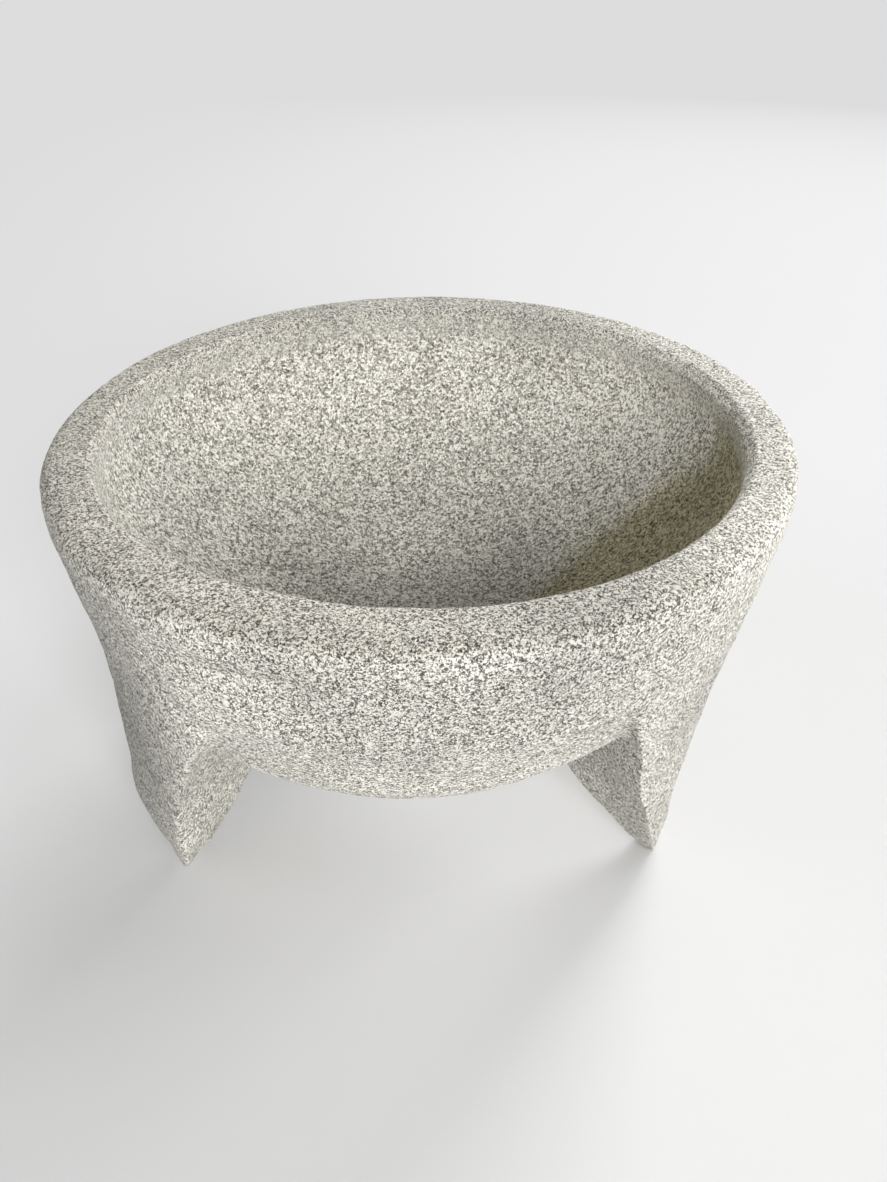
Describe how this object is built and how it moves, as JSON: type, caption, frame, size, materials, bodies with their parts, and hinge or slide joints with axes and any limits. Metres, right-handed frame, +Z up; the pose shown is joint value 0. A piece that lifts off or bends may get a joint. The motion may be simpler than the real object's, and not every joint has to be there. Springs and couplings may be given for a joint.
{
  "type": "molcajete",
  "caption": "Kitchen mortar carved from porous grey basalt: a turned round bowl with a broad flat rim, standing on wedge legs that narrow to small toes",
  "frame": {"origin": "On the ground, under the axis of the bowl, at the centre of the part's bounding box", "axes": "+Z up, along the axis of the bowl; the front is towards -Y, between the two front legs; +X is to the right seen from the front"},
  "size_m": [0.206, 0.206, 0.132],
  "materials": {
    "basalt": "rough, porous, speckled light and dark grains about 1 mm across, not polished"
  },
  "bodies": {
    "root": {"bowl": "basalt", "leg_front_left": "basalt", "leg_front_right": "basalt", "leg_rear": "basalt"}
  },
  "joints": []
}
